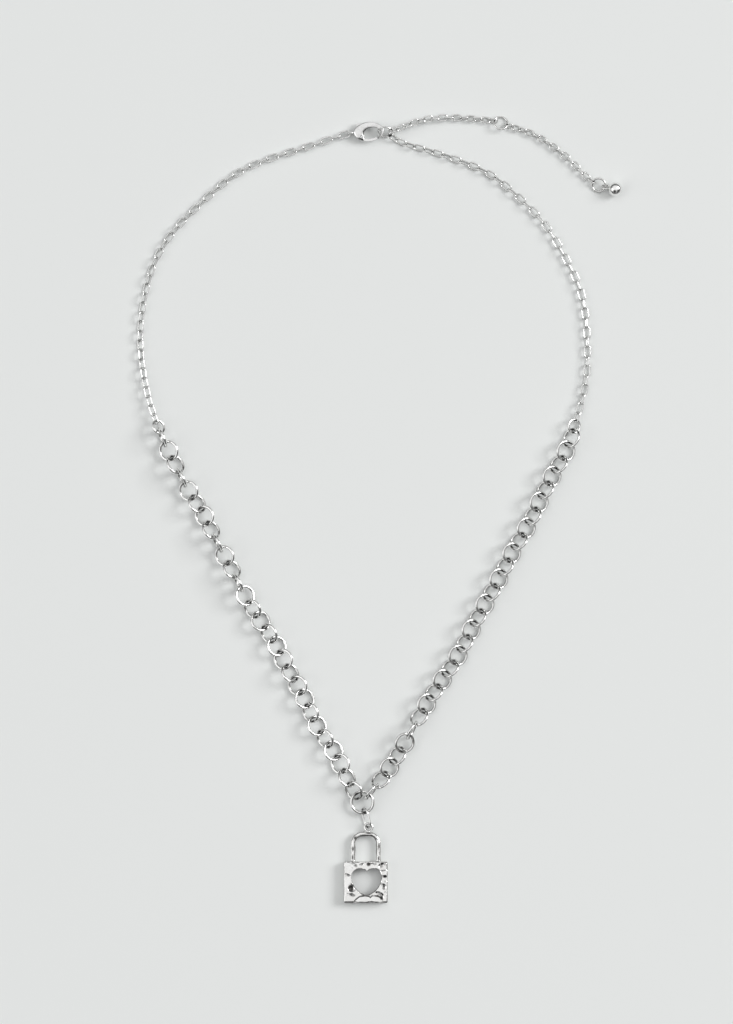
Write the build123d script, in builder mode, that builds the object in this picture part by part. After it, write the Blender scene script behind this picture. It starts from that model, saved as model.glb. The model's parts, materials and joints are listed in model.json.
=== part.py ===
from build123d import *
import os
from collections import namedtuple
from math import asin, ceil, cos, radians, sin, sqrt

# A padlock pendant on a necklace of round links and fine oval links, with a lobster clasp and an extender.
# Lengths are in millimetres. The necklace lies in its open loop on the plane z = 0. The origin is the
# middle of the loop, +Y points from the pendant to the clasp, and +X to the right.

# Round-link chains
round_inner = 4.3
round_wire = 0.8
round_slack_left = 0.28
round_slack_right = 0.38
round_rise = 0.42

# Fine oval-link chains
fine_inner_length = 2.73
fine_inner_width = 1.24
fine_wire = 0.42
fine_slack = 0.16
fine_rise = 0.18

# Extender chains
extender_inner_length = 2.2
extender_inner_width = 1.15
extender_wire = 0.4
extender_slack = 0.2
extender_rise = 0.2

# Rings, each with the slack that its neighbours have in it
centre_ring_inner = 4.94
centre_ring_wire = 0.88
centre_ring_roll = -5
centre_ring_slack = 0.75
centre_ring_rise = 1.0
joining_ring_inner = 2.9
joining_ring_wire = 0.66
left_joining_roll = -40
right_joining_roll = 30
left_joining_slack = 0.55
right_joining_slack = 0.35
joining_ring_rise = 0.62
catch_ring_inner = 3.4
catch_ring_wire = 0.6
catch_ring_roll = 55
catch_ring_turn = -15
catch_ring_dip = 15
catch_ring_lift = 0.15
catch_ring_shift = 0.05
catch_ring_bite = 0.75
catch_ring_extender_side = 15
catch_ring_chain_side = -35
catch_ring_slack = 0.3
extender_ring_inner = 3.1
extender_ring_wire = 0.54
extender_ring_roll = -24
end_ring_inner = 3.1
end_ring_wire = 0.54
end_ring_roll = 20
extender_ring_slack = 0.35

# Pendant jump ring
jump_ring_inner_length = 4.7
jump_ring_inner_width = 2.4
jump_ring_wire = 0.6
jump_ring_roll = 60
pendant_slack = 0.5
pendant_azimuth = -76

# Padlock casting
lock_width = 11.75
lock_height = 11.1
lock_thickness = 2.8
lock_corner = 0.5
lock_edge = 0.45
heart_width = 8.1
heart_height = 7.3
heart_notch = 0.85
heart_tip_radius = 1.3
heart_offset_x = 0.19
heart_offset_y = 0.06
heart_side = 0.31
heart_edge = 0.15
shackle_width = 8.2
shackle_rise = 8.0
shackle_wire = 1.4
shackle_corner = 2.5
shackle_root = 0.9
eye_hole = 1.44
eye_wire = 0.66
eye_offset_x = 0.72
eye_bite = 0.3

# Lobster clasp
clasp_length = 8.2
clasp_width = 5.2
clasp_thickness = 2.2
hub_thickness = 2.05
nose_thickness = 0.8
hook_thickness = 1.0
hub_length = 2.9
hub_taper = 2.4
hub_band = 2.65
nose_band = 0.95
back_band = 1.55
gate_band = 0.65
hook_tip = 1.0
clasp_edge = 0.2
lever_thickness = 0.64
lever_gap = 0.1
lever_swing = 22
gate_width = 0.75
nub_width = 1.0
nub_length = 3.4
nub_azimuth = 101
lug_diameter = 1.5
pin_diameter = 0.6
pin_gap = 0.04
pivot_inset = 0.55
pivot_edge = 1.35
tail_eye_hole = 1.3
tail_eye_wire = 0.55
tail_eye_slack = 0.35
tail_eye_bite = 0.28
clasp_azimuth = 4
clasp_slope = 4

# Ball at the free end
ball_diameter = 3.8
ball_eye_hole = 1.2
ball_eye_wire = 0.5
ball_eye_bite = 0.22
ball_eye_roll = -50
ball_azimuth = -14
ball_slope = 15

# Places of the rings and the clasp on the surface
centre_ring_point = (-0.2, -88.9)
left_joining_point = (-54.5, 11.2)
right_joining_point = (56.3, 11.4)
clasp_point = (1.6, 89.9)
end_ring_point = (62.9, 75.7)

# Chain routes between them, from the pendant up to the clasp, and along the extender. Their points are shares
# of the straight way between a route's two ends, along it and to its left.
left_round_route = [
    (0.033, 0.004), (0.138, 0.002), (0.209, 0.008), (0.281, 0.003), (0.357, 0.004),
    (0.425, 0.002), (0.495, 0.008), (0.57, 0.01), (0.637, 0.008), (0.709, 0.008),
    (0.774, 0.005), (0.842, 0.01), (0.905, 0.007), (0.975, 0.004),
]
right_round_route = [
    (0.037, -0.007), (0.128, -0.017), (0.202, -0.018), (0.269, -0.018), (0.341, -0.022),
    (0.41, -0.026), (0.478, -0.023), (0.545, -0.022), (0.614, -0.021), (0.682, -0.018),
    (0.745, -0.019), (0.813, -0.015), (0.879, -0.012), (0.97, -0.008),
]
left_fine_route = [
    (0.014, 0.021), (0.091, 0.108), (0.179, 0.18), (0.286, 0.236), (0.395, 0.268),
    (0.501, 0.268), (0.615, 0.244), (0.721, 0.211), (0.819, 0.149), (0.902, 0.08),
    (0.983, 0.015),
]
right_fine_route = [
    (0.019, -0.023), (0.1, -0.105), (0.205, -0.174), (0.326, -0.227), (0.431, -0.241),
    (0.54, -0.242), (0.651, -0.219), (0.749, -0.185), (0.832, -0.13), (0.918, -0.058),
    (0.98, -0.009),
]
extender_route = [
    (0.023, 0.012), (0.083, 0.055), (0.132, 0.086), (0.193, 0.111), (0.257, 0.13),
    (0.381, 0.155), (0.447, 0.164), (0.524, 0.161), (0.627, 0.155), (0.747, 0.12),
    (0.852, 0.072), (0.947, 0.017),
]

# The share of the extender's route at which its halfway ring lies
extender_ring_share = 0.485

# How the round links lie, read up from the pendant. F, f and S lie nearly flat, T, t, L and U lean, and N
# and n stand nearly on edge. A roll above 0 turns up the side towards the inside of the loop. The pitch turns
# up the end towards the pendant, so that the links lie like shingles. The shift is towards the clasp, and the
# room is the share of the chain that a link takes.
Lean = namedtuple("Lean", "roll pitch shift room")
round_leans = {
    "F": Lean(27, 4, 0.06, 1.0),
    "f": Lean(-29, 4, 0.06, 1.0),
    "T": Lean(-45, 9, -0.05, 1.0),
    "t": Lean(44, 5, -0.02, 1.0),
    "U": Lean(42, 0, 0.0, 1.0),
    "N": Lean(80, 0, 0.0, 1.08),
    "n": Lean(80, 0, 0.0, 1.0),
    "S": Lean(26.5, 7.7, 0.11, 1.0),
    "L": Lean(-46, 14, -0.11, 1.0),
}
left_round_pattern = "UTFftftfFTFftftfnTFnTFTFnTFn"
right_round_pattern = "NTFTFNTSLSLSLSLSLSLSLSLSLSLST"

# Hammer dents in the padlock's front. Their places are shares of its width and height from its middle, their
# sizes are shares of its width, and their depths are shares of its thickness.
Dent = namedtuple("Dent", "across up size depth")
dents = [
    Dent(-0.31, -0.15, 0.17, 0.09),
    Dent(-0.34, 0.35, 0.32, 0.07),
    Dent(-0.43, 0.11, 0.23, 0.06),
    Dent(-0.36, -0.35, 0.23, 0.06),
    Dent(-0.09, -0.37, 0.30, 0.07),
    Dent(0.28, -0.35, 0.27, 0.06),
    Dent(0.37, -0.12, 0.21, 0.06),
    Dent(0.42, 0.09, 0.18, 0.08),
    Dent(0.39, 0.25, 0.16, 0.05),
    Dent(0.38, 0.39, 0.20, 0.06),
    Dent(0.13, 0.40, 0.14, 0.04),
    Dent(-0.09, 0.39, 0.14, 0.04),
    Dent(-0.44, 0.42, 0.18, 0.05),
]

# A link or ring is an oval loop of round wire. A station is its place on the row that it hangs in, with the
# rise that its hold on the next loop allows, and the height of its middle where that is settled elsewhere.
# Its roll turns it about the row, and its pitch turns its end towards the row's start up.
Loop = namedtuple("Loop", "length width wire")
Station = namedtuple("Station", "x y roll loop rise held pitch", defaults=(0.0, 0.0))

round_link = Loop(round_inner, round_inner, round_wire)
fine_link = Loop(fine_inner_length, fine_inner_width, fine_wire)
extender_link = Loop(extender_inner_length, extender_inner_width, extender_wire)
centre_loop = Loop(centre_ring_inner, centre_ring_inner, centre_ring_wire)
joining_loop = Loop(joining_ring_inner, joining_ring_inner, joining_ring_wire)
catch_loop = Loop(catch_ring_inner, catch_ring_inner, catch_ring_wire)
extender_loop = Loop(extender_ring_inner, extender_ring_inner, extender_ring_wire)
end_loop = Loop(end_ring_inner, end_ring_inner, end_ring_wire)
jump_loop = Loop(jump_ring_inner_length, jump_ring_inner_width, jump_ring_wire)
lock_eye_loop = Loop(eye_hole, eye_hole, eye_wire)
tail_eye_loop = Loop(tail_eye_hole, tail_eye_hole, tail_eye_wire)
ball_eye_loop = Loop(ball_eye_hole, ball_eye_hole, ball_eye_wire)


def heading(azimuth, slope=0.0):
    """The unit vector at an azimuth from +X, rising by a slope, both in degrees."""
    return Vector(cos(radians(azimuth)) * cos(radians(slope)), sin(radians(azimuth)) * cos(radians(slope)),
                  sin(radians(slope)))


def rest_height(station, slope):
    """Height of a loop's centre when it touches the surface, at its roll, its pitch and the row's slope."""
    slope = sin(asin(slope) - radians(station.pitch))
    half_width = (station.loop.width + station.loop.wire) / 2
    reach = (station.loop.length - station.loop.width) / 2
    level = cos(radians(station.roll)) * sqrt(1 - slope**2)
    return reach * abs(slope) + half_width * sqrt(1 - level**2) + station.loop.wire / 2


def held_heights(stations, slopes):
    """Heights of a row of loops. Each lies on the surface unless its neighbours hold it up."""
    heights = [station.held or rest_height(station, slope) for station, slope in zip(stations, slopes)]
    for index in range(1, len(heights)):
        heights[index] = max(heights[index], heights[index - 1] - stations[index - 1].rise)
    for index in reversed(range(len(heights) - 1)):
        heights[index] = max(heights[index], heights[index + 1] - stations[index].rise)
    return heights


def settle(stations):
    """The centres of a row of loops, and the unit vectors along it, with the row resting on the surface."""
    slopes = [0.0] * len(stations)
    for _ in range(4):
        centres = [Vector(station.x, station.y, height)
                   for station, height in zip(stations, held_heights(stations, slopes))]
        chords = [(centres[min(index + 1, len(centres) - 1)] - centres[max(index - 1, 0)]).normalized()
                  for index in range(len(centres))]
        slopes = [chord.Z for chord in chords]
    return centres, chords


def loop_plane(centre, along, roll, inside=1, pitch=0.0):
    """Plane of a loop. Its x direction runs along the row, and roll turns up the side towards the inside."""
    side = Vector(-along.Y, along.X, 0).normalized() * inside
    up = along.cross(side) * inside
    tipped = along * cos(radians(pitch)) - up * sin(radians(pitch))
    lifted = up * cos(radians(pitch)) + along * sin(radians(pitch))
    edge = side * cos(radians(roll)) + lifted * sin(radians(roll))
    return Plane(origin=centre, x_dir=tipped, z_dir=tipped.cross(edge))


def lay(stations, inside=1):
    """Planes of a row of loops that rests on the surface."""
    centres, chords = settle(stations)
    return [loop_plane(centre, chord, station.roll, inside, station.pitch)
            for centre, chord, station in zip(centres, chords, stations)]


def smooth_route(start, end, shares):
    """A smooth line on the surface between two points, by way of points given as shares of the way."""
    start = Vector(start[0], start[1])
    ahead = Vector(end[0], end[1]) - start
    left = ahead.rotate(Axis.Z, 90)
    with BuildLine() as line:
        Spline(start, *[start + ahead * along + left * across for along, across in shares], start + ahead)
    return line.edge()


def chain_stations(route, loop, rise, slack, first, first_slack, last, last_slack, lean_of,
                   begin=0.0, end=1.0):
    """Stations of a chain's links on a route, between the middles of the loops at its two ends."""
    start = route.length * begin + (first.length + loop.length) / 2 - first_slack
    finish = route.length * end - (last.length + loop.length) / 2 + last_slack
    gaps = ceil((finish - start) / (loop.length - slack))
    leans = [lean_of(index, gaps) for index in range(gaps + 1)]
    rooms = [(before.room + after.room) / 2 for before, after in zip(leans, leans[1:])]
    stations = []
    for index, lean in enumerate(leans):
        share = sum(rooms[:index]) / sum(rooms)
        at = route @ ((start + (finish - start) * share + lean.shift) / route.length)
        stations.append(Station(at.X, at.Y, lean.roll, loop, rise, pitch=lean.pitch))
    return stations


def patterned(pattern):
    """Leans read from a pattern of letters."""
    return lambda index, gaps: round_leans[pattern[index % len(pattern)]]


def twisting(first, last):
    """Leans that turn by about a right angle from link to link, and are given at the chain's two ends."""
    def lean(index, gaps):
        twist = (last - first - 90 * gaps + 90) % 180 - 90
        return Lean(first + index * (90 + twist / gaps), 0, 0, 1)
    return lean


def rim_point(plane, loop, azimuth):
    """The point on the centre line of a leaning ring's wire that faces an azimuth."""
    facing = heading(azimuth)
    rim = facing - Vector(0, 0, 1) * (facing.dot(plane.z_dir) / plane.z_dir.Z)
    return plane.origin + rim.normalized() * wire_radius(loop)


def wire_radius(loop):
    """Radius of the centre line of a ring's wire."""
    return (loop.length + loop.wire) / 2


# Lobster clasp, lying with its hub and tail eye on the surface and its nose raised. In its plane the window
# and the mouth are set by the bands round them, and the pivot by the window and the clasp's edge.
window_length = clasp_length - hub_band - nose_band
window_width = clasp_width - back_band - gate_band
window_offset_x = (hub_band - nose_band) / 2
window_offset_y = (gate_band - back_band) / 2
mouth_length = window_length - hook_tip
mouth_offset_x = window_offset_x - hook_tip / 2
pivot_x = hub_band - clasp_length / 2 - pivot_inset
pivot_y = pivot_edge - clasp_width / 2
tail_eye_x = -clasp_length / 2 - tail_eye_hole / 2 - tail_eye_wire + tail_eye_bite
clasp_height = tail_eye_hole / 2 + tail_eye_wire - tail_eye_x * sin(radians(clasp_slope))
clasp_plane = Plane(origin=(*clasp_point, clasp_height), x_dir=heading(clasp_azimuth, clasp_slope),
                    z_dir=heading(clasp_azimuth, clasp_slope + 90))
tail_eye_plane = Plane(origin=clasp_plane.from_local_coords(Vector(tail_eye_x, 0, 0)),
                       x_dir=clasp_plane.x_dir, z_dir=clasp_plane.y_dir)

# The catch ring hangs on the clasp's nose, leaning across it
catch_ring_x = window_offset_x + window_length / 2 - catch_ring_bite + wire_radius(catch_loop)
catch_ring_plane = loop_plane(
    clasp_plane.from_local_coords(Vector(catch_ring_x, window_offset_y + catch_ring_shift, catch_ring_lift)),
    heading(clasp_azimuth + catch_ring_turn, clasp_slope - catch_ring_dip), catch_ring_roll)

# The chains are held by the sides of the catch ring's wire, so its rim has no hole of its own
catch_rim_loop = Loop(-catch_ring_wire, 0, 0)
extender_rim = rim_point(catch_ring_plane, catch_loop, catch_ring_extender_side)
chain_rim = rim_point(catch_ring_plane, catch_loop, catch_ring_chain_side)
tail_eye_centre = tail_eye_plane.origin

# Ball, resting on the surface with its eye turned down towards the chain
ball_eye_reach = ball_diameter / 2 + ball_eye_hole / 2 + ball_eye_wire - ball_eye_bite
ball_along = heading(ball_azimuth, ball_slope)
ball_eye_centre = Vector(*end_ring_point) + heading(ball_azimuth) * (
    (end_ring_inner + ball_eye_hole) / 2 - extender_ring_slack)
ball_eye_centre.Z = ball_diameter / 2 - ball_eye_reach * ball_along.Z
ball_eye_plane = loop_plane(ball_eye_centre, ball_along, ball_eye_roll)
ball_centre = ball_eye_centre + ball_along * ball_eye_reach

# Rows of loops
left_round_stations = chain_stations(
    smooth_route(centre_ring_point, left_joining_point, left_round_route),
    round_link, round_rise, round_slack_left, centre_loop, centre_ring_slack,
    joining_loop, left_joining_slack, patterned(left_round_pattern))
right_round_stations = chain_stations(
    smooth_route(centre_ring_point, right_joining_point, right_round_route),
    round_link, round_rise, round_slack_right, centre_loop, centre_ring_slack,
    joining_loop, right_joining_slack, patterned(right_round_pattern))
left_fine_stations = chain_stations(
    smooth_route(left_joining_point, tuple(tail_eye_centre), left_fine_route),
    fine_link, fine_rise, fine_slack, joining_loop, left_joining_slack,
    tail_eye_loop, tail_eye_slack, twisting(50, 0))
right_fine_stations = chain_stations(
    smooth_route(right_joining_point, tuple(chain_rim), right_fine_route),
    fine_link, fine_rise, fine_slack, joining_loop, right_joining_slack,
    catch_rim_loop, catch_ring_slack, twisting(-60, 45))
extender_line = smooth_route(tuple(extender_rim), end_ring_point, extender_route)
extender_ring_point = extender_line @ extender_ring_share
extender_inner_stations = chain_stations(
    extender_line, extender_link, extender_rise, extender_slack, catch_rim_loop, catch_ring_slack,
    extender_loop, extender_ring_slack, twisting(-40, 55), end=extender_ring_share)
extender_outer_stations = chain_stations(
    extender_line, extender_link, extender_rise, extender_slack, extender_loop, extender_ring_slack,
    end_loop, extender_ring_slack, twisting(55, -70), begin=extender_ring_share)

jump_ring_point = Vector(*centre_ring_point) + heading(pendant_azimuth) * (
    (centre_ring_inner + jump_ring_inner_length) / 2 - pendant_slack)
lock_eye_point = jump_ring_point + heading(pendant_azimuth) * (
    (jump_ring_inner_length + eye_hole) / 2 - pendant_slack)


def centre_station(held=0.0):
    return Station(*centre_ring_point, centre_ring_roll, centre_loop, centre_ring_rise, held)


def held_station(centre, roll, loop, rise):
    return Station(centre.X, centre.Y, roll, loop, rise, centre.Z)


left_row = [
    *left_round_stations[:-1],
    left_round_stations[-1]._replace(rise=joining_ring_rise),
    Station(*left_joining_point, left_joining_roll, joining_loop, fine_rise),
    *left_fine_stations,
    held_station(tail_eye_centre, 90, tail_eye_loop, fine_rise),
]
right_row = [
    *right_round_stations[:-1],
    right_round_stations[-1]._replace(rise=joining_ring_rise),
    Station(*right_joining_point, right_joining_roll, joining_loop, fine_rise),
    *right_fine_stations,
    held_station(chain_rim, catch_ring_roll, catch_loop, fine_rise),
]
extender_row = [
    held_station(extender_rim, catch_ring_roll, catch_loop, extender_rise),
    *extender_inner_stations,
    Station(extender_ring_point.X, extender_ring_point.Y, extender_ring_roll, extender_loop, extender_rise),
    *extender_outer_stations,
    Station(*end_ring_point, end_ring_roll, end_loop, extender_rise),
    held_station(ball_eye_centre, ball_eye_roll, ball_eye_loop, extender_rise),
]
pendant_row = [
    Station(jump_ring_point.X, jump_ring_point.Y, jump_ring_roll, jump_loop, centre_ring_rise),
    Station(lock_eye_point.X, lock_eye_point.Y, 0, lock_eye_loop, centre_ring_rise, lock_thickness / 2),
]

# The centre ring is as high as the highest of the three rows that meet on it lets it be
centre_height = max(settle([centre_station(), *row])[0][0].Z for row in (left_row, right_row, pendant_row))
left_planes = lay([centre_station(centre_height), *left_row], inside=-1)[1:]
right_planes = lay([centre_station(centre_height), *right_row])[1:]
extender_planes = lay(extender_row)[1:]
jump_ring_plane = lay([centre_station(centre_height), *pendant_row])[1]
centre_ring_along = (left_planes[0].origin + right_planes[0].origin) * 0.5 - jump_ring_plane.origin
centre_ring_plane = loop_plane(
    Vector(*centre_ring_point, centre_height), centre_ring_along.normalized(), centre_ring_roll)
lock_eye_plane = Plane(origin=(lock_eye_point.X, lock_eye_point.Y, lock_thickness / 2))

left_round_places = left_planes[:len(left_round_stations)]
left_joining_plane = left_planes[len(left_round_stations)]
left_fine_places = left_planes[len(left_round_stations) + 1:-1]
right_round_places = right_planes[:len(right_round_stations)]
right_joining_plane = right_planes[len(right_round_stations)]
right_fine_places = right_planes[len(right_round_stations) + 1:-1]
extender_inner_places = extender_planes[:len(extender_inner_stations)]
extender_ring_plane = extender_planes[len(extender_inner_stations)]
extender_outer_places = extender_planes[len(extender_inner_stations) + 1:-2]
end_ring_plane = extender_planes[-2]

# Round-link chains
with BuildPart() as left_round_chain:
    with Locations(*left_round_places):
        Torus(wire_radius(round_link), round_wire / 2)

with BuildPart() as right_round_chain:
    with Locations(*right_round_places):
        Torus(wire_radius(round_link), round_wire / 2)


def oval_link(loop):
    """One closed oval link in XY, its long axis along X."""
    end_radius = (loop.width + loop.wire) / 2
    reach = (loop.length - loop.width) / 2
    with BuildPart() as link:
        with BuildLine() as path:
            start = Line((-reach, end_radius), (reach, end_radius))
            CenterArc((reach, 0), end_radius, 90, -180)
            Line((reach, -end_radius), (-reach, -end_radius))
            CenterArc((-reach, 0), end_radius, -90, -180)
        with BuildSketch(Plane(origin=start @ 0, z_dir=start % 0)):
            Circle(loop.wire / 2)
        sweep(path=path.wires()[0])
    return link.part


fine_oval = oval_link(fine_link)
extender_oval = oval_link(extender_link)

# Fine chains and extender chains
with BuildPart() as left_fine_chain:
    with Locations(*left_fine_places):
        add(fine_oval)

with BuildPart() as right_fine_chain:
    with Locations(*right_fine_places):
        add(fine_oval)

with BuildPart() as extender_chain_inner:
    with Locations(*extender_inner_places):
        add(extender_oval)

with BuildPart() as extender_chain_outer:
    with Locations(*extender_outer_places):
        add(extender_oval)

# Rings
with BuildPart(centre_ring_plane) as centre_ring:
    Torus(wire_radius(centre_loop), centre_ring_wire / 2)

with BuildPart(left_joining_plane) as left_joining_ring:
    Torus(wire_radius(joining_loop), joining_ring_wire / 2)

with BuildPart(right_joining_plane) as right_joining_ring:
    Torus(wire_radius(joining_loop), joining_ring_wire / 2)

with BuildPart(catch_ring_plane) as catch_ring:
    Torus(wire_radius(catch_loop), catch_ring_wire / 2)

with BuildPart(extender_ring_plane) as extender_ring:
    Torus(wire_radius(extender_loop), extender_ring_wire / 2)

with BuildPart(end_ring_plane) as end_ring:
    Torus(wire_radius(end_loop), end_ring_wire / 2)

# Oval jump ring between the centre ring and the padlock's eye
with BuildPart(jump_ring_plane) as pendant_jump_ring:
    add(oval_link(jump_loop))

# Padlock pendant, one casting that lies on its back
lock_x = lock_eye_point.X - eye_offset_x
lock_y = lock_eye_point.Y - lock_height / 2 - shackle_rise - eye_hole / 2 - eye_wire + eye_bite
shackle_half = (shackle_width - shackle_wire) / 2
shackle_top = lock_height / 2 + shackle_rise - shackle_wire / 2
shackle_foot = lock_height / 2 - shackle_root
heart_half = heart_width / 2
heart_top = heart_height / 2

with BuildPart() as padlock_pendant:
    with BuildSketch(Plane(origin=(lock_x, lock_y, 0))):
        RectangleRounded(lock_width, lock_height, lock_corner)
    extrude(amount=lock_thickness)
    fillet(padlock_pendant.faces().sort_by(Axis.Z)[-1].edges(), lock_edge)

    # Heart, cut right through, with its front rim rounded
    with BuildSketch(Plane(origin=(lock_x + heart_offset_x, lock_y + heart_offset_y, 0))) as heart:
        with BuildLine():
            lobe = ThreePointArc((0, heart_top - heart_notch), (heart_half / 2, heart_top),
                                 (heart_half, heart_top - heart_side * heart_width))
            TangentArc(lobe @ 1, (0, -heart_top), tangent=lobe % 1)
            mirror(about=Plane.YZ)
        make_face()
        fillet(heart.vertices().sort_by(Axis.Y)[0], heart_tip_radius)
    extrude(amount=lock_thickness, mode=Mode.SUBTRACT)
    heart_rim = padlock_pendant.faces().sort_by(Axis.Z)[-1].inner_wires()[0]
    fillet(heart_rim.edges(), heart_edge)

    # Shackle, with its legs rooted in the body
    with BuildLine(Plane(origin=(lock_x, lock_y, lock_thickness / 2))) as bow:
        FilletPolyline(
            (-shackle_half, shackle_foot), (-shackle_half, shackle_top), (shackle_half, shackle_top),
            (shackle_half, shackle_foot), radius=shackle_corner)
    with BuildSketch(Plane(origin=bow.line @ 0, z_dir=bow.line % 0)):
        Circle(shackle_wire / 2)
    sweep(path=bow.wires()[0])

    # Eye on top of the shackle
    with Locations(lock_eye_plane.location):
        Torus(wire_radius(lock_eye_loop), eye_wire / 2)

    # Hammer dents, each a shallow cap of a sphere
    for dent in dents:
        dent_radius = dent.size * lock_width / 2
        dent_depth = dent.depth * lock_thickness
        sphere_radius = (dent_radius**2 + dent_depth**2) / (2 * dent_depth)
        with Locations((lock_x + dent.across * lock_width, lock_y + dent.up * lock_height,
                        lock_thickness - dent_depth + sphere_radius)):
            Sphere(sphere_radius, mode=Mode.SUBTRACT)

# Clasp lever: a lug on the pin, the curved gate that closes the mouth, and the thumb nub
mouth_left = mouth_offset_x - mouth_length / 2
gate_end = mouth_offset_x + mouth_length / 2 - 2 * lever_gap

with BuildPart() as clasp_lever:
    with BuildSketch(clasp_plane):
        Ellipse(clasp_length / 2, clasp_width / 2)
        Ellipse(clasp_length / 2 - gate_width, clasp_width / 2 - gate_width, mode=Mode.SUBTRACT)
        with Locations(((pivot_x + gate_end) / 2, -clasp_width / 2)):
            Rectangle(gate_end - pivot_x, clasp_width, mode=Mode.INTERSECT)
        with Locations((pivot_x, pivot_y)):
            Circle(lug_diameter / 2)
        with Locations(Location((pivot_x, pivot_y), nub_azimuth)):
            with Locations((nub_length / 2, 0)):
                SlotCenterToCenter(nub_length, nub_width)
        with Locations((pivot_x, pivot_y)):
            Circle(pin_diameter / 2 + pin_gap, mode=Mode.SUBTRACT)
    extrude(amount=lever_thickness / 2, both=True)


def clasp_blank():
    """The clasp's hook in XY: a plate with its window and mouth, thinner from the hub to the nose."""
    overrun = clasp_length / 2 + clasp_edge
    hub_end = hub_length - clasp_length / 2
    with BuildPart() as blank:
        with BuildSketch():
            Ellipse(clasp_length / 2, clasp_width / 2)
            with Locations((window_offset_x, window_offset_y)):
                Ellipse(window_length / 2, window_width / 2, mode=Mode.SUBTRACT)
            with Locations((mouth_offset_x, window_offset_y - clasp_width / 2)):
                Rectangle(mouth_length, clasp_width, mode=Mode.SUBTRACT)
        extrude(amount=clasp_thickness / 2, both=True)
        with BuildSketch(Plane.XZ):
            with BuildLine():
                Line((-overrun, 0), (-overrun, clasp_thickness / 2))
                Spline((-overrun, clasp_thickness / 2), (hub_end, hub_thickness / 2),
                       (hub_end + hub_taper, hook_thickness / 2), (overrun, nose_thickness / 2),
                       tangents=((1, 0), (1, 0)))
                Line((overrun, nose_thickness / 2), (overrun, 0))
                mirror(about=Plane.XZ)
            make_face()
        extrude(amount=clasp_width, both=True, mode=Mode.INTERSECT)
        fillet(blank.edges(), clasp_edge)
    return blank.part


# Clasp body: the hook, with its tail eye, slotted for the lever and drilled for the pin. The slot has room
# for the nub over the lever's whole swing.
slot_half = nub_width / 2 + lever_gap
slot_corners = [Vector(along, across).rotate(Axis.Z, azimuth) for along, across, azimuth in (
    (0, -slot_half, nub_azimuth), (clasp_length, -slot_half, nub_azimuth),
    (clasp_length, slot_half, nub_azimuth + lever_swing), (0, slot_half, nub_azimuth + lever_swing))]
gate_room = mouth_left - pivot_x + 3 * lever_gap

with BuildPart(clasp_plane) as clasp_body:
    add(clasp_blank())
    with BuildSketch(clasp_plane):
        with Locations((pivot_x, pivot_y)):
            Polygon(*[(corner.X, corner.Y) for corner in slot_corners], align=None)
            Circle(lug_diameter / 2 + lever_gap)
        with Locations((pivot_x - lever_gap, pivot_y + lever_gap)):
            Rectangle(gate_room, clasp_width, align=(Align.MIN, Align.MAX))
    extrude(amount=lever_thickness / 2 + lever_gap, both=True, mode=Mode.SUBTRACT)
    with Locations((tail_eye_x, 0)):
        Torus(wire_radius(tail_eye_loop), tail_eye_wire / 2, rotation=(90, 0, 0))
    with Locations((pivot_x, pivot_y)):
        Cylinder(pin_diameter / 2 + pin_gap, 2 * clasp_thickness, mode=Mode.SUBTRACT)

with BuildPart(clasp_plane) as clasp_pin:
    with Locations((pivot_x, pivot_y)):
        Cylinder(pin_diameter / 2, hub_thickness)

# Ball at the free end, with its eye
with BuildPart() as end_ball:
    with Locations(ball_centre):
        Sphere(ball_diameter / 2)
    with Locations(ball_eye_plane.location):
        Torus(wire_radius(ball_eye_loop), ball_eye_wire / 2)

os.makedirs("parts", exist_ok=True)
for name, piece in {
    "padlock_pendant": padlock_pendant,
    "pendant_jump_ring": pendant_jump_ring,
    "centre_ring": centre_ring,
    "left_round_chain": left_round_chain,
    "right_round_chain": right_round_chain,
    "left_joining_ring": left_joining_ring,
    "right_joining_ring": right_joining_ring,
    "left_fine_chain": left_fine_chain,
    "right_fine_chain": right_fine_chain,
    "clasp_body": clasp_body,
    "clasp_lever": clasp_lever,
    "clasp_pin": clasp_pin,
    "catch_ring": catch_ring,
    "extender_chain_inner": extender_chain_inner,
    "extender_ring": extender_ring,
    "extender_chain_outer": extender_chain_outer,
    "end_ring": end_ring,
    "end_ball": end_ball,
}.items():
    piece.part.label = name
    export_step(piece.part, f"parts/{name}.step")
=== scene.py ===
import json
from collections import namedtuple
from math import cos, pi, radians, sin

import bmesh
import bpy
import numpy as np
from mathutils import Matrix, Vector, noise

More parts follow.
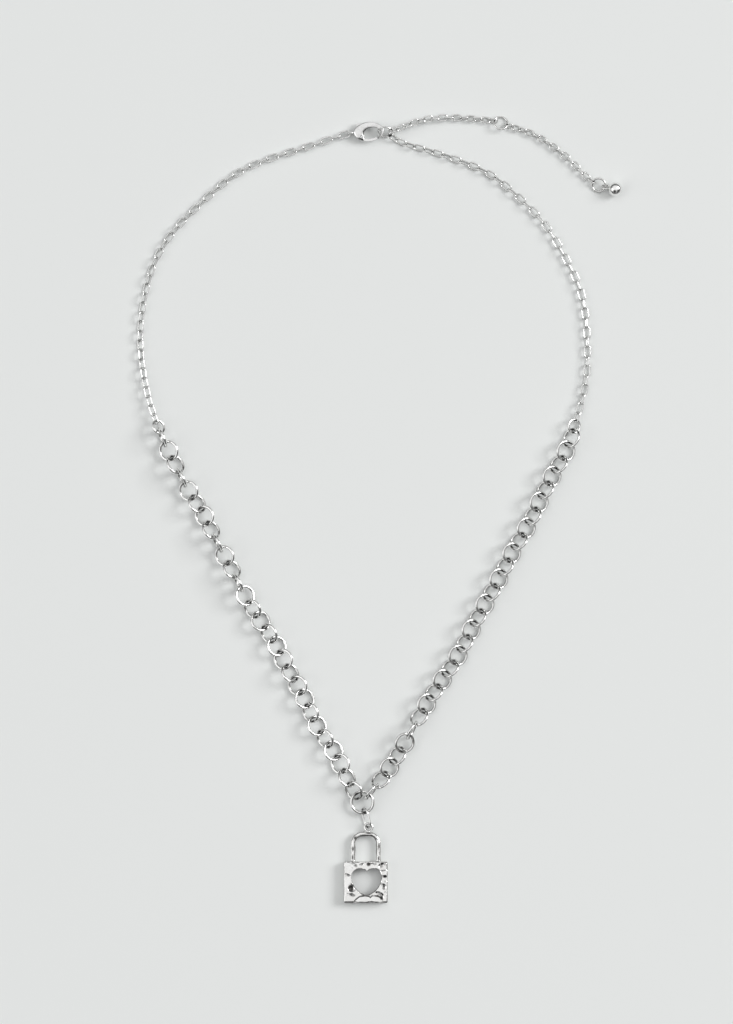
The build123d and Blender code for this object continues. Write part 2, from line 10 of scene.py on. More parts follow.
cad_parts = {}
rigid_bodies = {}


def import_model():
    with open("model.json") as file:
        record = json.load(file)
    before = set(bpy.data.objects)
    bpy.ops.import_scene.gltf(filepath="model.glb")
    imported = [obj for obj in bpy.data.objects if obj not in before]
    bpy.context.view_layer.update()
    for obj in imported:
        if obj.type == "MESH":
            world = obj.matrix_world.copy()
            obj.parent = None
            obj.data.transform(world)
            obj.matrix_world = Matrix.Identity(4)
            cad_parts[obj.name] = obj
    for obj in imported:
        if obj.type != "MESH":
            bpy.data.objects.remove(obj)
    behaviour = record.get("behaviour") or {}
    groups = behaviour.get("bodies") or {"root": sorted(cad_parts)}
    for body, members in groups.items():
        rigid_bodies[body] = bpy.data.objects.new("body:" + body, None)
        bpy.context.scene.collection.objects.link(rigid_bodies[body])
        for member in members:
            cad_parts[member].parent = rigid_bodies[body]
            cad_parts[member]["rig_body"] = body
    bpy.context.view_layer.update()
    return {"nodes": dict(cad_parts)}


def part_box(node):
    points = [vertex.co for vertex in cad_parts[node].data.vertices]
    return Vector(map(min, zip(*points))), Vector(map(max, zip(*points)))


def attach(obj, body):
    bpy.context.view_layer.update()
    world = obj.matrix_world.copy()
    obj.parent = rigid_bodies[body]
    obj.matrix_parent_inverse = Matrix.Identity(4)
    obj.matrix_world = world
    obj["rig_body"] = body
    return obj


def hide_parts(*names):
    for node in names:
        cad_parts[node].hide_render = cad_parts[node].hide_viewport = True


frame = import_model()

# Padlock pendant necklace in polished silver, lying in its loop on a pale surface. Lengths are in metres,
# apart from the castings, which are shaped in millimetres.

MM = 0.001


# Materials

CLOUDS_PER_MM = 0.45
POLISH_PER_MM = 1.3
SCRATCHES_PER_MM = 4.0
SCRATCH_STRETCH = (1.0, 7.0, 2.0)
SCRATCH_DEPTH = 0.004 * MM
# The near-black colour and the roughness of painted shade, which the metal fades into
PAINTED_SHADE_COLOUR = (0.035, 0.033, 0.031, 1)
PAINTED_SHADE_ROUGHNESS = (0.42, 0.42, 0.42, 1)


def nodes_of(material):
    """A material's emptied node tree, with a new shader in it."""
    material.use_nodes = True
    tree = material.node_tree
    tree.nodes.clear()
    output = tree.nodes.new("ShaderNodeOutputMaterial")
    shader = tree.nodes.new("ShaderNodeBsdfPrincipled")
    tree.links.new(shader.outputs["BSDF"], output.inputs["Surface"])
    return tree, shader


def noise_node(tree, coordinates, scale, detail, roughness, stretch=(1, 1, 1)):
    """A noise texture whose scale is in features per millimetre."""
    place = tree.nodes.new("ShaderNodeMapping")
    tree.links.new(coordinates, place.inputs["Vector"])
    place.inputs["Scale"].default_value = [share / MM for share in stretch]
    texture = tree.nodes.new("ShaderNodeTexNoise")
    tree.links.new(place.outputs["Vector"], texture.inputs["Vector"])
    texture.inputs["Scale"].default_value = scale
    texture.inputs["Detail"].default_value = detail
    texture.inputs["Roughness"].default_value = roughness
    return texture.outputs["Fac"]


def ramp(tree, value, stops):
    """A colour ramp. Each stop is a position with a colour or a single grey."""
    node = tree.nodes.new("ShaderNodeValToRGB")
    tree.links.new(value, node.inputs["Fac"])
    elements = node.color_ramp.elements
    while len(elements) < len(stops):
        elements.new(0.5)
    for element, (position, colour) in zip(elements, stops):
        element.position = position
        element.color = (*colour, 1) if isinstance(colour, tuple) else (colour, colour, colour, 1)
    return node.outputs["Color"]


def bump(tree, height, distance, strength=1.0, normal=None):
    """A bump of a distance in metres, on top of another one if that is given."""
    node = tree.nodes.new("ShaderNodeBump")
    node.inputs["Distance"].default_value = distance
    node.inputs["Strength"].default_value = strength
    tree.links.new(height, node.inputs["Height"])
    if normal is not None:
        tree.links.new(normal, node.inputs["Normal"])
    return node.outputs["Normal"]


def silver(name, bright, cloudy, smooth, worn, ripple=0.0, ripples_per_mm=1.0):
    """Polished silver with cloudy tone, uneven polish, fine scratches and, on castings, a soft ripple.

    An attribute on each mesh's vertices fades the metal there into a near-black, rough colour, which is
    painted shade and painted dark reflection."""
    material = bpy.data.materials.new(name)
    tree, shader = nodes_of(material)
    shader.inputs["Metallic"].default_value = 1.0
    place = tree.nodes.new("ShaderNodeTexCoord").outputs["Object"]
    cloud = noise_node(tree, place, CLOUDS_PER_MM, 4.0, 0.6)
    polish = noise_node(tree, place, POLISH_PER_MM, 5.0, 0.65)
    painted_shade_attribute = tree.nodes.new("ShaderNodeAttribute")
    painted_shade_attribute.attribute_name = "painted_shade"
    for value, stops, painted_value, socket in (
            (cloud, [(0.32, cloudy), (0.62, bright)], PAINTED_SHADE_COLOUR, "Base Color"),
            (polish, [(0.3, smooth), (0.72, worn)], PAINTED_SHADE_ROUGHNESS, "Roughness")):
        mix = tree.nodes.new("ShaderNodeMixRGB")
        tree.links.new(painted_shade_attribute.outputs["Fac"], mix.inputs["Fac"])
        tree.links.new(ramp(tree, value, stops), mix.inputs["Color1"])
        mix.inputs["Color2"].default_value = painted_value
        tree.links.new(mix.outputs["Color"], shader.inputs[socket])
    normal = None
    if ripple:
        normal = bump(tree, noise_node(tree, place, ripples_per_mm, 2.0, 0.45), ripple * MM)
    scratches = noise_node(tree, place, SCRATCHES_PER_MM, 3.0, 0.7, SCRATCH_STRETCH)
    tree.links.new(bump(tree, scratches, SCRATCH_DEPTH, 0.6, normal), shader.inputs["Normal"])
    return material


# Each look: its bright and cloudy tones, its roughness where smooth and where worn, and its ripple's depth
# in millimetres and number of ripples in a millimetre
looks = {
    "chain_silver": ((0.93, 0.93, 0.92), (0.82, 0.82, 0.81), 0.06, 0.17),
    "ring_silver": ((0.93, 0.93, 0.92), (0.83, 0.83, 0.82), 0.05, 0.15),
    "cast_silver": ((0.9, 0.9, 0.89), (0.8, 0.795, 0.78), 0.05, 0.15, 0.03, 1.1),
    "clasp_silver": ((0.86, 0.86, 0.855), (0.72, 0.72, 0.715), 0.1, 0.24, 0.05, 0.9),
    "ball_silver": ((0.94, 0.94, 0.93), (0.86, 0.86, 0.85), 0.2, 0.3),
}
silvers = {slot: silver(slot, *look) for slot, look in looks.items()}


# Pieces

def add_piece(name, node, slot, vertices, faces, painted_shade=None):
    """A new mesh object that stands for a CAD node and rides on that node's body.

    How much shade is painted on each vertex, from 0 to 1, darkens and roughens the metal there."""
    mesh = bpy.data.meshes.new(name)
    mesh.from_pydata([tuple(vertex) for vertex in vertices], [], faces)
    mesh.materials.append(silvers[slot])
    mesh.polygons.foreach_set("use_smooth", [True] * len(mesh.polygons))
    mesh.attributes.new("painted_shade", "FLOAT", "POINT").data.foreach_set(
        "value", np.zeros(len(mesh.vertices)) if painted_shade is None else np.asarray(painted_shade, dtype=float))
    mesh.update()
    piece = bpy.data.objects.new(name, mesh)
    bpy.context.scene.collection.objects.link(piece)
    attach(piece, frame["nodes"][node]["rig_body"])
    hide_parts(node)


# Links. A node's links are found again in its mesh and remade as finer wire.

SEAM_DEPTH = 0.05         # share of the wire's radius that a seam is thinner by
SEAM_REACH = 0.12         # share of the wire's radius that a seam reaches to each side
SEAM_START = 0.06         # where the first link's seam is, as a share of the way round it
SEAM_STEP = 0.618         # share of the way round that the seam moves from link to link
DRIFT = 0.012             # share of the wire's radius that it varies by
NEIGHBOUR_REACH = 2.2     # how many times a link's own reach a touching link's middle may be away
TOUCH_ANGLE = 0.42        # radians to each side of a touching link that get painted shade
# How much shade is painted where links touch and on each link's inner side, and the most there may be
TOUCH_SHADE, INNER_SHADE, MOST_LINK_SHADE = 2.3, 0.55, 0.97

# Each noise along a link: its step from link to link, its waves in a turn, and its row
DRIFT_NOISE, TOUCH_NOISE, PATCH_NOISE = (3.7, 9, 0.5), (1.9, 14, 2.5), (2.3, 7, 4.5)


def islands(node):
    """The vertices of each loose solid of a CAD node, as arrays."""
    source = bmesh.new()
    source.from_mesh(frame["nodes"][node].data)
    bmesh.ops.remove_doubles(source, verts=source.verts, dist=1e-6)
    source.verts.ensure_lookup_table()
    seen = set()
    groups = []
    for vertex in source.verts:
        if vertex.index in seen:
            continue
        stack = [vertex]
        seen.add(vertex.index)
        group = []
        while stack:
            at = stack.pop()
            group.append(at.co[:])
            for edge in at.link_edges:
                other = edge.other_vert(at)
                if other.index not in seen:
                    seen.add(other.index)
                    stack.append(other)
        groups.append(np.array(group))
    source.free()
    return groups


def link_frame(points):
    """Centre, axes and half extents of a link: its long axis, its width axis and its normal."""
    middle = points.mean(0)
    axes = np.linalg.eigh(np.cov((points - middle).T))[1][:, ::-1].T
    if np.linalg.det(axes) < 0:
        axes[2] = -axes[2]
    spread = (points - middle) @ axes.T
    low, high = spread.min(0), spread.max(0)
    centre = middle + ((low + high) / 2) @ axes
    return centre, axes, (high - low) / 2


def stadium(reach, radius, steps):
    """Points, outward directions and lengths along a closed oval path in a plane."""
    straight = 2 * reach
    arc = pi * radius
    total = 2 * straight + 2 * arc
    points = []
    for index in range(steps):
        s = total * index / steps
        if s < arc:
            a = -pi / 2 + s / radius
            points.append((reach + radius * cos(a), radius * sin(a), cos(a), sin(a), s))
        elif s < arc + straight:
            points.append((reach - (s - arc), radius, 0.0, 1.0, s))
        elif s < 2 * arc + straight:
            a = pi / 2 + (s - arc - straight) / radius
            points.append((-reach + radius * cos(a), radius * sin(a), cos(a), sin(a), s))
        else:
            points.append((-reach + (s - 2 * arc - straight), -radius, 0.0, -1.0, s))
    return points, total


def tube_faces(steps, sides):
    """The quads of a closed tube, whose vertices go round it ring by ring."""
    faces = []
    for ring in range(steps):
        start, after = ring * sides, (ring + 1) % steps * sides
        for side in range(sides):
            beside = (side + 1) % sides
            faces.append((start + side, after + side, after + beside, start + beside))
    return faces


def link_noise(kind, seed, along):
    """One of the noises at a share of the way along a link."""
    step, waves_in_turn, row = kind
    return noise.noise(Vector((seed * step, waves_in_turn * along, row)))


def wire_link(centre, axes, half, steps, sides, seed, seam_at=0.25):
    """A closed link of round wire, a little thinner at its seam.

    Shade is painted on its inner side, and most where other links touch it."""
    wire = half[2]
    radius = half[1] - wire
    reach = half[0] - half[1]
    path, total = stadium(max(reach, 0.0), radius, steps)
    away = [middle - centre for middle in link_middles]
    near = [offset / np.linalg.norm(offset) for offset in away
            if 1e-6 < np.linalg.norm(offset) < NEIGHBOUR_REACH * (reach + radius)]
    held = [(offset @ axes[0], offset @ axes[1]) for offset in near]
    vertices, painted_shade = [], []
    for x, y, out_x, out_y, s in path:
        along = s / total
        gap = abs((along - seam_at + 0.5) % 1 - 0.5) * total
        pinch = SEAM_DEPTH * max(0.0, 1 - gap / (SEAM_REACH * wire)) ** 2
        thin = 1 - pinch - DRIFT + DRIFT * link_noise(DRIFT_NOISE, seed, along)
        angles = [np.arccos(min(1.0, (x * to_x + y * to_y) / np.hypot(x, y) / np.hypot(to_x, to_y)))
                  for to_x, to_y in held]
        touch = max((1 - angle / TOUCH_ANGLE for angle in angles), default=0.0)
        touch = max(0.0, touch) * (1.0 + 0.5 * link_noise(TOUCH_NOISE, seed, along))
        patches = 1.0 + 0.8 * link_noise(PATCH_NOISE, seed, along)
        for side in range(sides):
            turn = 2 * pi * side / sides
            outward, lift = cos(turn) * wire * thin, sin(turn) * wire * thin
            local = (x + out_x * outward, y + out_y * outward, lift)
            vertices.append(centre + local[0] * axes[0] + local[1] * axes[1] + local[2] * axes[2])
            # Painted shade on the link's inner side and where other links touch it
            inner = INNER_SHADE * max(0.0, -cos(turn) - 0.35) * patches
            touched = TOUCH_SHADE * touch * max(0.0, 0.45 - 0.55 * cos(turn))
            painted_shade.append(min(MOST_LINK_SHADE, max(inner, touched)))
    return vertices, tube_faces(steps, sides), painted_shade


def remake_links(node, slot, steps, sides, tarnish=1.0):
    """Every link of a node again, as finer wire with its seam and a share of the usual painted shade."""
    vertices, faces, painted_shade = [], [], []
    for index, (centre, axes, half) in enumerate(links[node]):
        seam_at = SEAM_START + SEAM_STEP * index % 1
        made, quads, painted_shares = wire_link(centre, axes, half, steps, sides, index, seam_at)
        start = len(vertices)
        vertices.extend(made)
        painted_shade.extend(tarnish * share for share in painted_shares)
        faces.extend(tuple(start + corner for corner in quad) for quad in quads)
    add_piece(node + "_wire", node, slot, vertices, faces, painted_shade)


round_chains = ("left_round_chain", "right_round_chain")
fine_chains = ("left_fine_chain", "right_fine_chain", "extender_chain_inner", "extender_chain_outer")
rings = ("centre_ring", "left_joining_ring", "right_joining_ring", "catch_ring", "extender_ring", "end_ring",
         "pendant_jump_ring")
links = {node: [link_frame(points) for points in islands(node)]
         for node in round_chains + fine_chains + rings}

# The padlock's eye holds the jump ring as a link would. It is at the padlock's top, a little to the right of
# the middle, and these are millimetres.
EYE_RIGHT, EYE_DOWN, EYE_HEIGHT = 0.72, 1.38, 1.3
lock_low, lock_high = (np.array(corner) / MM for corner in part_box("padlock_pendant"))
lock_middle = (lock_low[0] + lock_high[0]) / 2
lock_eye = np.array((lock_middle + EYE_RIGHT, lock_high[1] - EYE_DOWN, EYE_HEIGHT)) * MM
link_middles = [centre for node in links for centre, axes, half in links[node]] + [lock_eye]

for chain in round_chains:
    remake_links(chain, "chain_silver", 96, 24)
for chain in fine_chains:
    # The fine chains get half the links' painted shade
    remake_links(chain, "chain_silver", 64, 16, tarnish=0.5)
for ring in rings:
    remake_links(ring, "ring_silver", 128, 28)


# Castings

def fine_casting(node, voxel, smoothing):
    """A casting's surface again in small even faces, in millimetres: its vertices, normals and faces."""
    mesh = frame["nodes"][node].data.copy()
    points = np.empty(len(mesh.vertices) * 3)
    mesh.vertices.foreach_get("co", points)
    mesh.vertices.foreach_set("co", points / MM)
    mesh.update()
    blank = bpy.data.objects.new("blank", mesh)
    bpy.context.scene.collection.objects.link(blank)
    remesh = blank.modifiers.new("even", "REMESH")
    remesh.mode = "VOXEL"
    remesh.voxel_size = voxel
    smooth = blank.modifiers.new("soft", "SMOOTH")
    smooth.factor = 0.5
    smooth.iterations = smoothing
    graph = bpy.context.evaluated_depsgraph_get()
    made = bpy.data.meshes.new_from_object(blank.evaluated_get(graph))
    points = np.empty(len(made.vertices) * 3)
    made.vertices.foreach_get("co", points)
    normals = np.empty(len(made.vertices) * 3)
    made.vertex_normals.foreach_get("vector", normals)
    faces = [tuple(polygon.vertices) for polygon in made.polygons]
    bpy.data.objects.remove(blank)
    bpy.data.meshes.remove(mesh)
    bpy.data.meshes.remove(made)
    return points.reshape(-1, 3), normals.reshape(-1, 3), faces


def waves(points, per_mm, seed):
    """Soft noise from 0 to 1 at each point."""
    shift = Vector((seed * 17.3, seed * 5.1, seed * 9.7))
    values = [noise.fractal(Vector(point) * per_mm + shift, 1.0, 2.0, 2) for point in points]
    return np.clip(0.5 + np.array(values) * 0.6, 0, 1)


def rise(values, start, width):
    """0 up to the start, then rising to 1 over the width."""
    return np.clip((values - start) / width, 0, 1)


def fade(values, end, width):
    """1 at first, then falling over the width to 0 at the end."""
    return np.clip((end - values) / width, 0, 1)


def patchy(values, gain, cut, least=0.0):
    """Values with more contrast, from the least to 1."""
    return np.clip(gain * values - cut, least, 1)


# Padlock. Its front is hammered all over, more gently to the left, with a ridge along its lower part and
# dents that are deeper and sharper than the rest. Places on the front are shares of the body's width and
# height from its middle, and all else is in millimetres.
BODY_WIDTH, BODY_HEIGHT = 11.75, 11.1
FRONT_FROM = 1.9                     # height above the floor from which a surface can be part of the front
FRONT_OVER = 0.2                     # how far the front may reach above the body
HEART_MIDDLE, HEART_HALF = 0.19, (4.1, 3.75)
SHACKLE_MIDDLE, SHACKLE_REACH = (0.1, 9.6), 4.6
BACK_CLEAR, BACK_BLEND = 0.15, 0.35  # the back stays plain, and the hammering begins a little above it

# Each noise: its waves in a millimetre, and its seed
BROAD, FACETS, GRAIN, STREAKS, SHACKLE_PATCHES = (0.34, 1), (0.85, 2), (2.2, 3), (0.6, 5), (0.5, 6)
BROAD_DEPTH, FACET_DEPTH, FRONT_FACET_DEPTH, GRAIN_DEPTH = 0.12, 0.07, 0.04, 0.02
# How much shade is painted along the bevel, in the notches, on the shackle's inner side and on the heart's
# walls, and the most there may be
BEVEL_SHADE, NICK_SHADE, SHACKLE_SHADE, HEART_SHADE, MOST_SHADE = 0.75, 1.2, 0.75, 0.9, 0.95

# The ridge is a line along the front, below which the surface drops and comes up again. The bevel is the
# slope along the front's lower edge.
RIDGE_ACROSS = (-0.3, -0.25, -0.15, -0.02, 0.07, 0.1, 0.14, 0.28, 0.36, 0.41)
RIDGE_UP = (-0.48, -0.41, -0.325, -0.295, -0.31, -0.345, -0.3, -0.31, -0.37, -0.46)
RIDGE_MIDDLE, RIDGE_HALF = 0.055, 0.355
RIDGE_DROP, RIDGE_SLOPE, RIDGE_RETURN = 0.2, 0.45, 1.5
# A streaky line of painted shade lies this far below the ridge, with this half width
RIDGE_DARK_BELOW, RIDGE_DARK_HALF = 0.22, 0.3
BEVEL_UP, BEVEL_STEEPNESS, BEVEL_WIDTH = -0.452, 0.34, 0.7

# Small deep dents in the front, and notches in the shackle, whose places are in millimetres
# A dent's last number is how much shade is painted in it, and the notches get painted shade too
Pit = namedtuple("Pit", "across up size depth tarnish")
Nick = namedtuple("Nick", "across up width height depth")
pits = [
    Pit(-0.33, -0.15, 0.85, 0.3, 1.9),
    Pit(0.065, 0.43, 0.55, 0.2, 1.5),
    Pit(0.34, 0.39, 0.6, 0.13, 0.6),
    Pit(0.41, -0.14, 0.5, 0.15, 0.7),
    Pit(0.36, -0.385, 0.55, 0.2, 1.5),
    Pit(-0.1, 0.42, 0.5, 0.1, 0.35),
    Pit(0.43, 0.02, 0.4, 0.08, 0.3),
    Pit(0.2, 0.43, 0.5, 0.1, 0.35),
]
nicks = [
    Nick(-3.45, 8.8, 0.25, 0.5, 0.12),
    Nick(-2.9, 11.8, 0.3, 0.5, 0.12),
    Nick(0.8, 13.1, 0.8, 0.22, 0.08),
    Nick(3.5, 9.6, 0.2, 0.8, 0.06),
    Nick(-3.5, 6.6, 0.22, 0.6, 0.08),
    Nick(3.4, 6.3, 0.2, 0.5, 0.06),
]


def jump_ring_end():
    """The middle of the jump ring's wire at its lower end, inside the padlock's eye, in millimetres."""
    middle, axes, half = links["pendant_jump_ring"][0]
    ends = [(middle + way * (half[0] - half[2]) * axes[0]) / MM for way in (-1, 1)]
    return min(ends, key=lambda end: end[1])


def hammering(points, normals):
    """How deep below its plain surface each point of the padlock is, and how much shade is painted on it."""
    across = points[:, 0] - lock_middle
    up = points[:, 1] - (lock_low[1] + BODY_HEIGHT / 2)
    facing = normals[:, 2]
    front = rise(facing, 0.25, 0.5) * (up < BODY_HEIGHT / 2 + FRONT_OVER) * (points[:, 2] > FRONT_FROM)
    facets = waves(points, *FACETS)
    streaks = waves(points, *STREAKS)
    strength = np.clip(0.75 + 1.5 * across / BODY_WIDTH, 0.35, 1)
    depth = GRAIN_DEPTH * waves(points, *GRAIN) + FACET_DEPTH * facets * strength
    depth += front * (BROAD_DEPTH * waves(points, *BROAD) + FRONT_FACET_DEPTH * facets * strength)

    below = np.interp(across / BODY_WIDTH, RIDGE_ACROSS, RIDGE_UP) * BODY_HEIGHT - up
    below = np.where(np.abs(across / BODY_WIDTH - RIDGE_MIDDLE) < RIDGE_HALF, below, -1)
    drop = rise(below, 0, RIDGE_SLOPE)**1.5 * fade(below, RIDGE_SLOPE + RIDGE_RETURN, RIDGE_RETURN)
    depth += front * RIDGE_DROP * drop
    # A streaky line of painted shade below the ridge
    line = fade(np.abs(below - RIDGE_DARK_BELOW), RIDGE_DARK_HALF, RIDGE_DARK_HALF)
    tarnish = front * line * patchy(streaks, 2.6, 0.7, 0.15)

    bevel = BEVEL_UP * BODY_HEIGHT - 0.3 * (facets - 0.5) - up
    depth += front * BEVEL_STEEPNESS * np.clip(bevel, 0, BEVEL_WIDTH)
    # Painted shade along the lower bevel
    tarnish += BEVEL_SHADE * (facing > 0.1) * rise(bevel, 0, 0.15) * patchy(streaks, 2.2, 0.3, 0.2)

    # Painted shade in the dents and the notches
    for pit in pits:
        beside = (across - pit.across * BODY_WIDTH) / pit.size
        above = (up - pit.up * BODY_HEIGHT) / pit.size
        hollow = np.exp(-beside**2 - (above * np.where(above > 0, 0.8, 1.2))**2)
        depth += front * pit.depth * hollow
        tarnish += front * pit.tarnish * patchy(hollow, 1.9, 0.7 + 0.9 * (facets - 0.5))
    for nick in nicks:
        beside = (across - nick.across) / nick.width
        above = (up - nick.up) / nick.height
        hollow = np.exp(-beside**2 - above**2) * (facing > 0)
        depth += nick.depth * hollow
        tarnish += NICK_SHADE * hollow

    # Painted shade on the shackle's inner side, where the jump ring passes through the eye, and on the
    # heart's walls
    shackle_x, shackle_y = across - SHACKLE_MIDDLE[0], up - SHACKLE_MIDDLE[1]
    far = np.hypot(shackle_x, shackle_y)
    inward = -(normals[:, 0] * shackle_x + normals[:, 1] * shackle_y) / far
    shackle = rise(up, BODY_HEIGHT / 2 + 0.3, 0.3) * (far < SHACKLE_REACH) * patchy(inward, 1.6, 0.3)
    tarnish += SHACKLE_SHADE * shackle * patchy(waves(points, *SHACKLE_PATCHES), 2.4, 0.7)
    tarnish += fade(np.linalg.norm(points - jump_ring_end(), axis=1), 0.99, 0.45)
    heart = (np.abs(across - HEART_MIDDLE) < HEART_HALF[0]) * (np.abs(up) < HEART_HALF[1])
    tarnish = np.maximum(HEART_SHADE * heart * fade(np.abs(facing), 0.5, 0.5), tarnish)
    depth *= rise(points[:, 2], lock_low[2] + BACK_CLEAR, BACK_BLEND)
    return depth, np.clip(tarnish, 0, MOST_SHADE)


points, normals, faces = fine_casting("padlock_pendant", 0.085, 2)
depth, painted_shade = hammering(points, normals)
points = points - normals * depth[:, None]
add_piece("padlock_casting", "padlock_pendant", "cast_silver", points * MM, faces, painted_shade)


# Clasp body, domed between its rims. In its own plane it is an oval with an oval window, and that plane is
# turned a little and tilted off the floor. Sizes are in millimetres.
CLASP_MIDDLE = (1.6, 89.9)
CLASP_TURN, CLASP_TILT = radians(4), radians(4)
CLASP_HALF, WINDOW_HALF, WINDOW_MIDDLE = (4.1, 2.6), (2.3, 1.5), (0.85, -0.45)
PIN_FROM_MIDDLE = 2.0
TAIL_X, HUB_X = -4.2, -3.5           # where the tail eye ends, and where the hub begins
SLOT_HALF = 0.42                     # half the thickness that stays as it is, for the lever
DOME_WIDTH, DOME_SHARE, DOME_ROUNDNESS = 1.35, 0.44, 0.9
CLASP_WAVES, CLASP_PATCHES = (0.7, 4), (0.7, 7)
CLASP_UNEVEN, WINDOW_SHADE = 0.07, 0.85


def inside_oval(x, y, half):
    """About how far points are inside an oval. It is below 0 outside."""
    far = np.hypot(x / half[0], y / half[1]) + 1e-6
    return (1 - far) * far / np.hypot(x / half[0]**2, y / half[1]**2)


points, normals, faces = fine_casting("clasp_body", 0.06, 3)
clasp_x = np.array((cos(CLASP_TURN) * cos(CLASP_TILT), sin(CLASP_TURN) * cos(CLASP_TILT), sin(CLASP_TILT)))
clasp_y = np.array((-sin(CLASP_TURN), cos(CLASP_TURN), 0))
clasp_z = np.cross(clasp_x, clasp_y)
pin_low, pin_high = (np.array(corner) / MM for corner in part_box("clasp_pin"))
clasp_height = (pin_low[2] + pin_high[2]) / 2 + PIN_FROM_MIDDLE * sin(CLASP_TILT)
local = points - np.array((*CLASP_MIDDLE, clasp_height))
x, y, z = local @ clasp_x, local @ clasp_y, local @ clasp_z
from_window = -inside_oval(x - WINDOW_MIDDLE[0], y - WINDOW_MIDDLE[1], WINDOW_HALF)
from_rim = np.minimum(inside_oval(x, y, CLASP_HALF), from_window)
fall = 1 - rise(from_rim, 0, DOME_WIDTH)
hub_half = np.abs(z[x > HUB_X]).max()
domed = rise(np.abs(z), SLOT_HALF, hub_half - SLOT_HALF) * (x > TAIL_X)
lower = DOME_SHARE * np.abs(z) * (1 - np.sqrt(1 - fall**2 * DOME_ROUNDNESS)) * domed
points = points - clasp_z * (lower * np.sign(z))[:, None]
points = points - normals * (CLASP_UNEVEN * waves(points, *CLASP_WAVES))[:, None]
# Patchy painted shade around the window's edge
painted_shade = WINDOW_SHADE * fade(from_window, 0.54, 0.45) * patchy(waves(points, *CLASP_PATCHES), 1.8, 0.25)
add_piece("clasp_body_casting", "clasp_body", "clasp_silver", points * MM, faces, painted_shade)


# Lever and pin, a little uneven
for node, voxel, smoothing, uneven, per_mm in (
        ("clasp_lever", 0.05, 5, 0.015, 1.1),
        ("clasp_pin", 0.035, 2, 0.01, 2.0)):
    points, normals, faces = fine_casting(node, voxel, smoothing)
    points = points - normals * (uneven * waves(points, per_mm, 4))[:, None]
    add_piece(node + "_casting", node, "clasp_silver", points * MM, faces)


# Ball with its eye

BALL_TURN, BALL_TILT, BALL_EYE_ROLL = radians(-14), radians(15), radians(-50)
BALL_EYE_DISTANCE = 2.78 * MM
BALL_EYE_HALF = np.array((1.1, 1.1, 0.25)) * MM


def ball(centre, radius, sides, rings):
    """The vertices and faces of a sphere with a pole at its top and one at its bottom."""
    vertices = [centre + Vector((0, 0, radius))]
    for ring in range(1, rings):
        tilt = pi * ring / rings
        for side in range(sides):
            turn = 2 * pi * side / sides
            outward = Vector((sin(tilt) * cos(turn), sin(tilt) * sin(turn), cos(tilt)))
            vertices.append(centre + radius * outward)
    vertices.append(centre - Vector((0, 0, radius)))
    faces = []
    for side in range(sides):
        beside = (side + 1) % sides
        faces.append((0, 1 + side, 1 + beside))
        for ring in range(rings - 2):
            start = 1 + ring * sides
            faces.append((start + side, start + sides + side, start + sides + beside, start + beside))
        end = 1 + (rings - 2) * sides
        faces.append((end + side, len(vertices) - 1, end + beside))
    return vertices, faces


ball_low, ball_high = (Vector(corner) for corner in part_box("end_ball"))
ball_radius = (ball_high.z - ball_low.z) / 2
ball_middle = Vector((ball_high.x - ball_radius, ball_high.y - ball_radius, ball_low.z + ball_radius))
vertices, faces = ball(ball_middle, ball_radius, 96, 64)
along = np.array((cos(BALL_TURN) * cos(BALL_TILT), sin(BALL_TURN) * cos(BALL_TILT), sin(BALL_TILT)))
beside = np.array((-sin(BALL_TURN), cos(BALL_TURN), 0))
edge = beside * cos(BALL_EYE_ROLL) + np.cross(along, beside) * sin(BALL_EYE_ROLL)
eye_axes = [along, edge, np.cross(along, edge)]
eye_middle = np.array(ball_middle) - BALL_EYE_DISTANCE * along
# The eye gets painted shade on its inner side, as a link does, and the ball itself gets none
eye, quads, painted_shares = wire_link(eye_middle, eye_axes, BALL_EYE_HALF, 96, 24, seed=7)
start = len(vertices)
faces.extend(tuple(start + corner for corner in quad) for quad in quads)
add_piece("end_ball_casting", "end_ball", "ball_silver", [*vertices, *eye], faces, [0.0] * start + painted_shares)


# Floor, as pale as the photograph's
FLOOR_HALF = 3
floor_material = bpy.data.materials.new("floor")
tree, shader = nodes_of(floor_material)
shader.inputs["Base Color"].default_value = (0.86, 0.877, 0.868, 1)
shader.inputs["Roughness"].default_value = 0.9
floor_mesh = bpy.data.meshes.new("floor")
corners = [(x * FLOOR_HALF, y * FLOOR_HALF, 0) for x, y in ((-1, -1), (1, -1), (1, 1), (-1, 1))]
floor_mesh.from_pydata(corners, [], [(0, 1, 2, 3)])
floor_mesh.materials.append(floor_material)
floor = bpy.data.objects.new("floor", floor_mesh)
bpy.context.scene.collection.objects.link(floor)


# Camera, straight above the loop. The sensor's width spans the frame's longer side, which is its height.
SENSOR_WIDTH = 36
FRAME_HEIGHT = 0.2734
CAMERA_HEIGHT = 1.4
camera_data = bpy.data.cameras.new("camera")
camera_data.sensor_width = SENSOR_WIDTH
camera_data.lens = SENSOR_WIDTH * CAMERA_HEIGHT / FRAME_HEIGHT
camera_data.clip_start = 0.05
camera_data.clip_end = 20
camera = bpy.data.objects.new("camera", camera_data)
camera.location = (0.00093, -0.0115, CAMERA_HEIGHT)
bpy.context.scene.collection.objects.link(camera)
bpy.context.scene.camera = camera


# Studio light

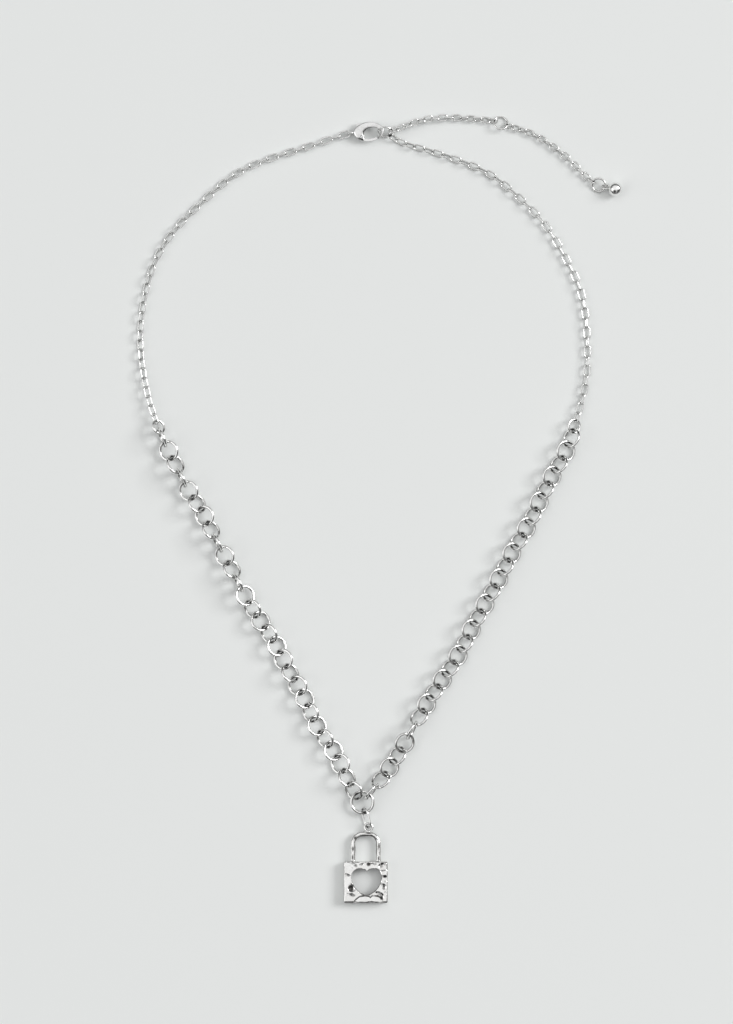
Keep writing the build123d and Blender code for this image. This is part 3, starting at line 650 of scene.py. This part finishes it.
def area_light(name, place, size, power):
    """A square light that faces the middle of the floor."""
    data = bpy.data.lights.new(name, "AREA")
    data.shape = "RECTANGLE"
    data.size = size
    data.size_y = size
    data.energy = power
    light = bpy.data.objects.new(name, data)
    light.location = place
    light.rotation_mode = "QUATERNION"
    light.rotation_quaternion = (-Vector(place)).to_track_quat("-Z", "Y")
    light.visible_camera = False
    bpy.context.scene.collection.objects.link(light)


area_light("key", (4.2, 1.5, 3.2), 2.3, 150)
area_light("fill", (-4.5, -1.0, 3.0), 4.0, 40)

# A dome that is bright overhead and dark near the horizon, with dark zones for the metal to mirror. Each
# zone has its direction, and the cosines of its outer and inner edges.
DOME_STOPS = [(0.0, 0.02), (0.34, 0.05), (0.52, 0.5), (0.66, 0.88), (1.0, 0.95)]
DARK_ZONES = (((-0.17, -0.62, 0.766), 0.88, 0.96), ((0.68, -0.48, 0.55), 0.88, 0.97))
DARK_TONE = 0.03
world = bpy.data.worlds.new("studio")
world.use_nodes = True
bpy.context.scene.world = world
tree = world.node_tree
tree.nodes.clear()
output = tree.nodes.new("ShaderNodeOutputWorld")
background = tree.nodes.new("ShaderNodeBackground")
tree.links.new(background.outputs["Background"], output.inputs["Surface"])
direction = tree.nodes.new("ShaderNodeTexCoord").outputs["Generated"]
split = tree.nodes.new("ShaderNodeSeparateXYZ")
tree.links.new(direction, split.inputs["Vector"])
dome = ramp(tree, split.outputs["Z"], DOME_STOPS)
for towards, outer, inner in DARK_ZONES:
    facing = tree.nodes.new("ShaderNodeVectorMath")
    facing.operation = "DOT_PRODUCT"
    tree.links.new(direction, facing.inputs[0])
    facing.inputs[1].default_value = towards
    zone = ramp(tree, facing.outputs["Value"], [(outer, 1.0), (inner, DARK_TONE)])
    shade = tree.nodes.new("ShaderNodeMixRGB")
    shade.blend_type = "MULTIPLY"
    shade.inputs["Fac"].default_value = 1.0
    tree.links.new(dome, shade.inputs["Color1"])
    tree.links.new(zone, shade.inputs["Color2"])
    dome = shade.outputs["Color"]
tree.links.new(dome, background.inputs["Color"])
background.inputs["Strength"].default_value = 1.0

bpy.context.scene.view_settings.view_transform = "Standard"
bpy.context.scene.view_settings.look = "None"
